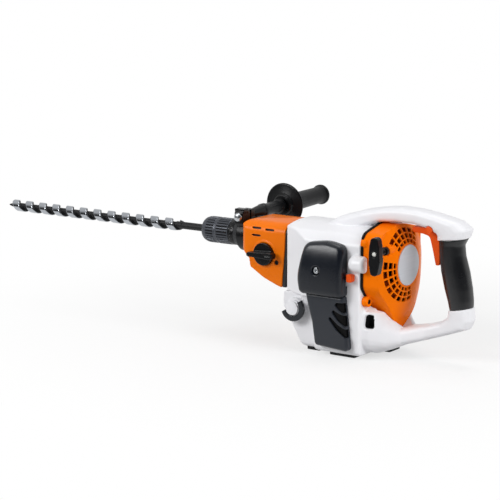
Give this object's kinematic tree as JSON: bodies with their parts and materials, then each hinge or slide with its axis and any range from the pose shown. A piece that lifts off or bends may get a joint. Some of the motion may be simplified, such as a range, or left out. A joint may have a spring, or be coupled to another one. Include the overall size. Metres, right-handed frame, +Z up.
{
  "type": "petrol wood-boring drill",
  "caption": "Hand-held petrol drill with a long snake auger bit, keyless chuck, reversing gearbox, side handle, recoil starter and looped rear grip, for boring holes in timber.",
  "frame": {"origin": "on the floor under the spindle axis, at the middle of the rear foot", "axes": "+X along the spindle from the bit towards the rear grip, +Y to the operator's right, +Z up"},
  "size_m": [0.9283, 0.3015, 0.2345],
  "materials": {
    "bit_steel": "black oxide with bright ground flutes",
    "chuck_steel": "dark satin",
    "chuck_black": "satin",
    "bright_steel": "ground",
    "cast_alloy": "as cast",
    "dark_alloy": "bead blasted",
    "orange_shell": "satin",
    "orange_trigger": "satin",
    "white_shell": "semi gloss",
    "grey_cover": "satin",
    "black_plastic": "satin",
    "black_rubber": "matte",
    "badge_metal": "satin",
    "filter_foam": "open cell",
    "rope_cord": "braided",
    "screw_steel": "black oxide",
    "ceramic": "glazed"
  },
  "bodies": {
    "engine": {"engine_housing": "white_shell", "upper_handle_arm": "white_shell", "lower_handle_arm": "white_shell", "rear_grip": "black_rubber", "grip_core": "cast_alloy", "gear_case": "dark_alloy", "gear_cover": "orange_shell", "gear_cover_screws": "screw_steel", "spindle_bearings": "bright_steel", "crankcase": "cast_alloy", "crank_bearings": "bright_steel", "cylinder_barrel": "cast_alloy", "spark_plug": "ceramic", "plug_boot": "black_rubber", "carburettor": "cast_alloy", "air_filter": "filter_foam", "filter_cover": "grey_cover", "filter_screw": "bright_steel", "muffler": "cast_alloy", "muffler_guard": "grey_cover", "ignition_module": "black_plastic", "fuel_tank": "white_shell", "starter_cover": "orange_shell", "badge_plate": "badge_metal", "starter_screws": "screw_steel", "recoil_spring": "bright_steel", "rope_bush": "black_plastic", "trigger_pin": "orange_trigger", "rubber_feet": "black_rubber"},
    "spindle": {"spindle": "bright_steel", "output_gear": "bright_steel", "chuck_body": "bright_steel", "chuck_ring": "chuck_black", "auger_bit": "bit_steel"},
    "sleeve": {"chuck_sleeve": "chuck_steel"},
    "jaw_1": {"chuck_jaw_1": "bright_steel"},
    "jaw_2": {"chuck_jaw_2": "bright_steel"},
    "jaw_3": {"chuck_jaw_3": "bright_steel"},
    "mid": {"mid_shaft": "bright_steel", "mid_gears": "bright_steel"},
    "drum": {"clutch_drum": "bright_steel", "drive_pinion": "bright_steel"},
    "crank": {"crankshaft": "bright_steel", "clutch_hub": "cast_alloy", "flywheel": "cast_alloy"},
    "selector": {"selector_knob": "black_plastic", "selector_shaft": "bright_steel"},
    "side_collar": {"handle_collar": "black_plastic", "collar_bolt": "bright_steel", "handle_stem": "black_plastic"},
    "side_grip": {"handle_guard": "black_plastic", "handle_grip": "black_rubber"},
    "throttle": {"trigger": "orange_trigger"},
    "choke": {"choke_lever": "orange_trigger"},
    "pull": {"starter_grip": "black_plastic", "starter_rope": "rope_cord"},
    "rotor": {"starter_rotor": "black_plastic"},
    "cap": {"fuel_cap": "white_shell"},
    "bail": {"cap_bail": "grey_cover"}
  },
  "joints": [
    {"name": "spindle_spin", "type": "hinge", "parent": "engine", "child": "spindle", "pos_m": [-0.2028, 0, 0.164], "axis": [1, 0, 0], "continuous": true},
    {"name": "sleeve_turn", "type": "hinge", "parent": "spindle", "child": "sleeve", "pos_m": [-0.2658, 0, 0.164], "axis": [1, 0, 0], "range_deg": [0, 540]},
    {"name": "jaw_1_slide", "type": "slide", "parent": "spindle", "child": "jaw_1", "axis": [0.9848, 0, 0.1736], "range_m": [0, 0.0024]},
    {"name": "jaw_2_slide", "type": "slide", "parent": "spindle", "child": "jaw_2", "axis": [0.9848, -0.1504, -0.0868], "range_m": [0, 0.0024]},
    {"name": "jaw_3_slide", "type": "slide", "parent": "spindle", "child": "jaw_3", "axis": [0.9848, 0.1504, -0.0868], "range_m": [0, 0.0024]},
    {"name": "mid_spin", "type": "hinge", "parent": "engine", "child": "mid", "pos_m": [-0.1428, 0.01852, 0.13313], "axis": [1, 0, 0], "continuous": true},
    {"name": "drum_spin", "type": "hinge", "parent": "engine", "child": "drum", "pos_m": [-0.0928, 0, 0.145], "axis": [1, 0, 0], "continuous": true},
    {"name": "crank_spin", "type": "hinge", "parent": "engine", "child": "crank", "pos_m": [-0.0228, 0, 0.145], "axis": [1, 0, 0], "continuous": true},
    {"name": "selector_turn", "type": "hinge", "parent": "engine", "child": "selector", "pos_m": [-0.148, -0.045, 0.144], "axis": [0, -1, 0], "range_deg": [-60, 60]},
    {"name": "side_swivel", "type": "hinge", "parent": "engine", "child": "side_collar", "pos_m": [-0.2074, 0, 0.164], "axis": [1, 0, 0], "range_deg": [-180, 180]},
    {"name": "side_grip_turn", "type": "hinge", "parent": "side_collar", "child": "side_grip", "pos_m": [-0.2074, 0.09713, 0.19835], "axis": [0, 0.9997, 0.0262], "range_deg": [0, 360]},
    {"name": "throttle_pull", "type": "hinge", "parent": "engine", "child": "throttle", "pos_m": [0.131, 0, 0.206], "axis": [0, -1, 0], "range_deg": [0, 11], "stiffness_Nm_per_rad": 0.8, "springref_deg": -8.59},
    {"name": "choke_turn", "type": "hinge", "parent": "engine", "child": "choke", "pos_m": [0.008, -0.0644, 0.129], "axis": [0, 1, 0], "range_deg": [0, 25]},
    {"name": "starter_pull", "type": "slide", "parent": "engine", "child": "pull", "axis": [0, -1, 0], "range_m": [0, 0.65], "stiffness_N_per_m": 18, "springref_m": -0.5},
    {"name": "rotor_spin", "type": "hinge", "parent": "engine", "child": "rotor", "pos_m": [0.076, 0, 0.145], "axis": [1, 0, 0], "range_deg": [0, 1332]},
    {"name": "cap_turn", "type": "hinge", "parent": "engine", "child": "cap", "pos_m": [-0.083, -0.057, 0.068], "axis": [0, -1, 0], "range_deg": [0, 90]},
    {"name": "bail_flip", "type": "hinge", "parent": "cap", "child": "bail", "pos_m": [-0.083, -0.0619, 0.068], "axis": [-0.8572, 0, -0.515], "range_deg": [0, 95]}
  ],
  "couplings": [
    {"joint": "mid_spin", "follows": "spindle_spin", "ratio": -2.6},
    {"joint": "drum_spin", "follows": "spindle_spin", "ratio": 8.84},
    {"joint": "jaw_1_slide", "follows": "sleeve_turn", "m_per_rad": 0.0002546},
    {"joint": "jaw_2_slide", "follows": "sleeve_turn", "m_per_rad": 0.0002546},
    {"joint": "jaw_3_slide", "follows": "sleeve_turn", "m_per_rad": 0.0002546},
    {"joint": "rotor_spin", "follows": "starter_pull", "rad_per_m": 35.714}
  ]
}
